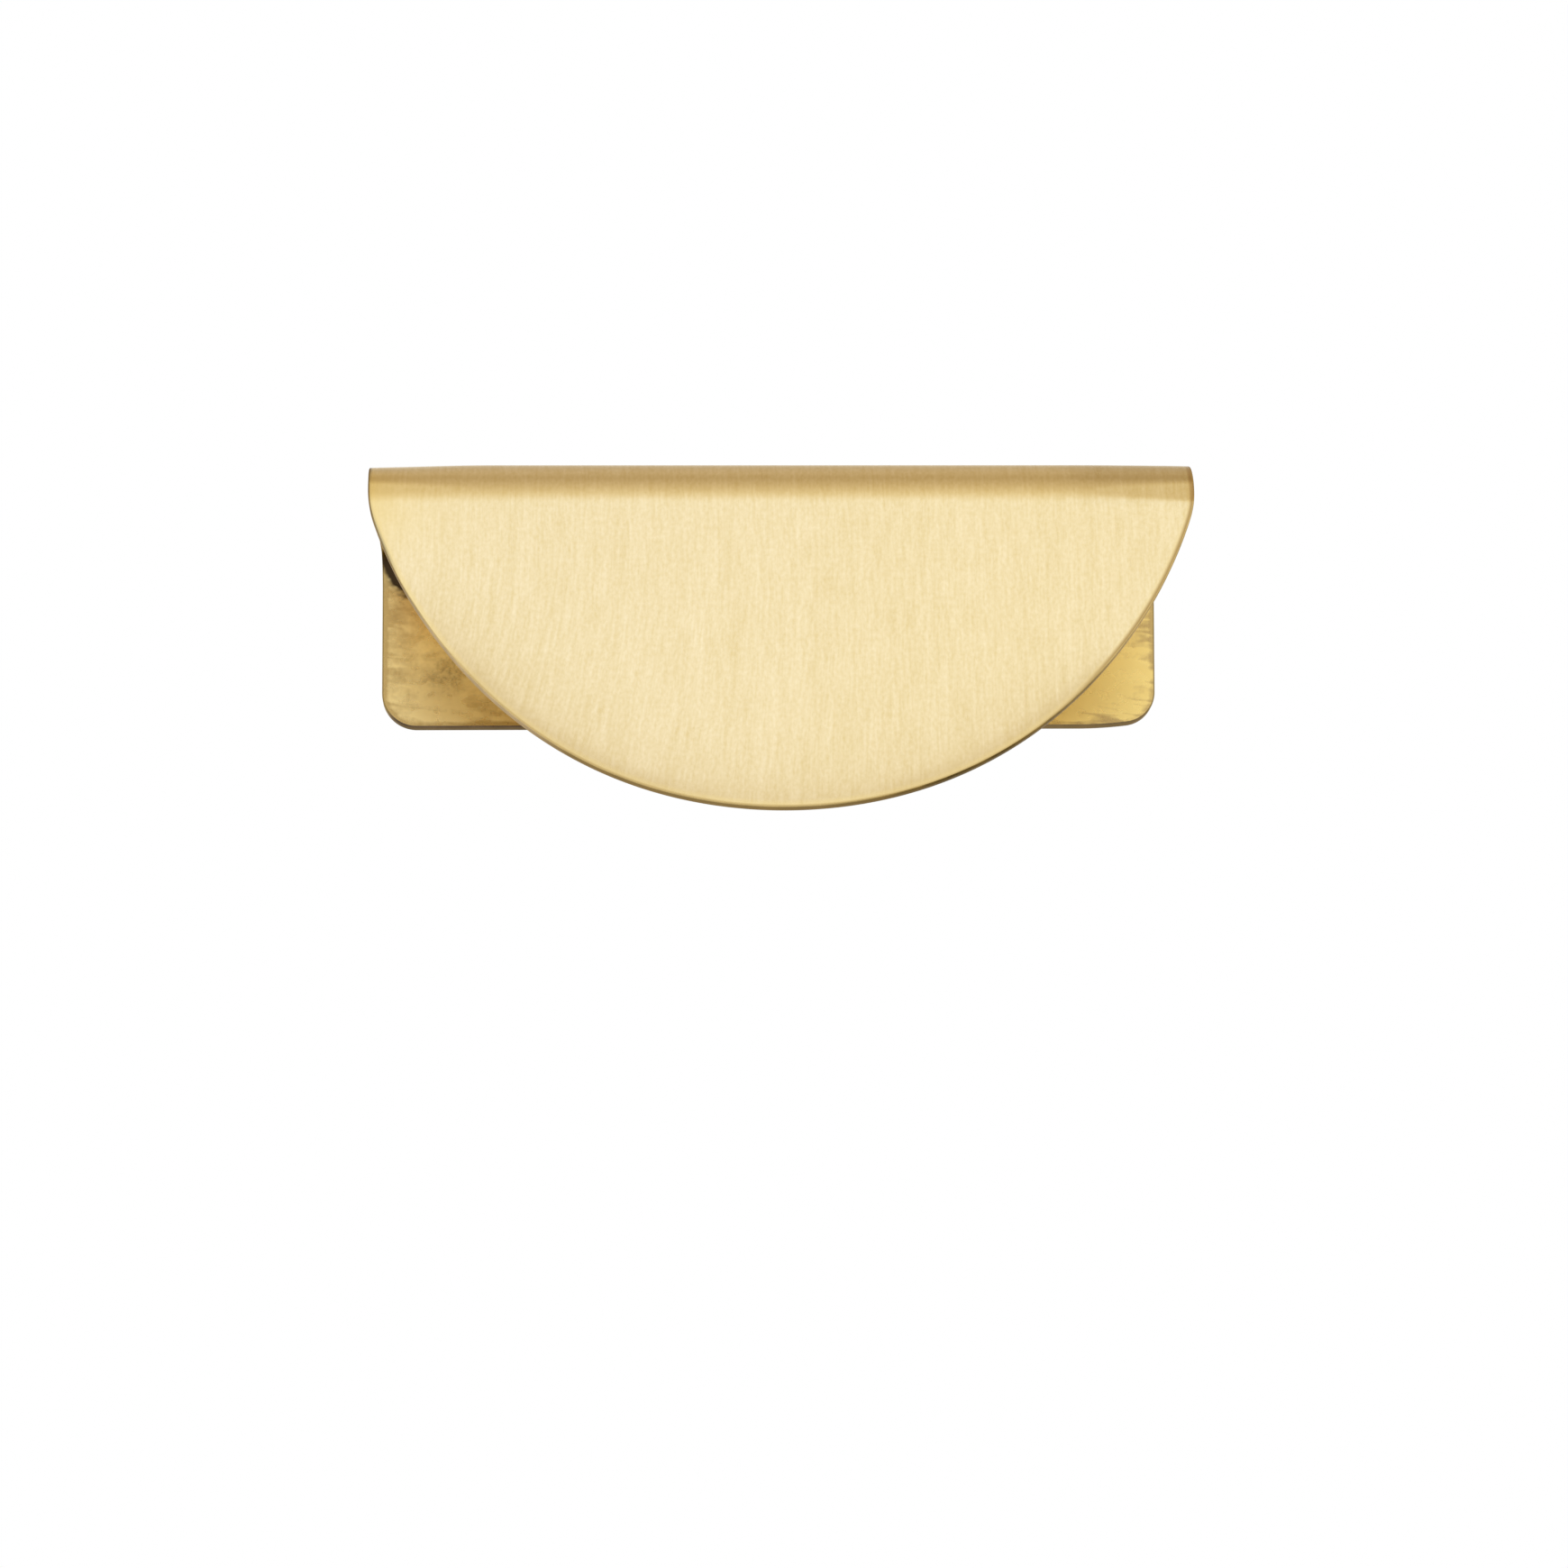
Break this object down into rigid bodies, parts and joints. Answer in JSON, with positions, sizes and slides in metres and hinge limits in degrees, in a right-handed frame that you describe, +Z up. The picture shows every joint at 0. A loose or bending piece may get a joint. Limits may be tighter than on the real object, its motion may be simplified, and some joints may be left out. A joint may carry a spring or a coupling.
{
  "type": "lip pull",
  "caption": "Folded brass lip pull that hooks over a drawer front's top edge, with a half-moon grip plate in front and a screw-on leg behind.",
  "frame": {"origin": "centre of the leg's front face, which bears on the back of the drawer front, midway between the screw holes", "axes": "+Z up, +X along the pull's length, -Y out of the drawer towards the user; the half-moon plate hangs on the -Y side"},
  "size_m": [0.096, 0.044, 0.042],
  "materials": {
    "satin_brass": "satin, finely brushed up and down"
  },
  "bodies": {
    "root": {"folded_plate": "satin_brass"}
  },
  "joints": []
}
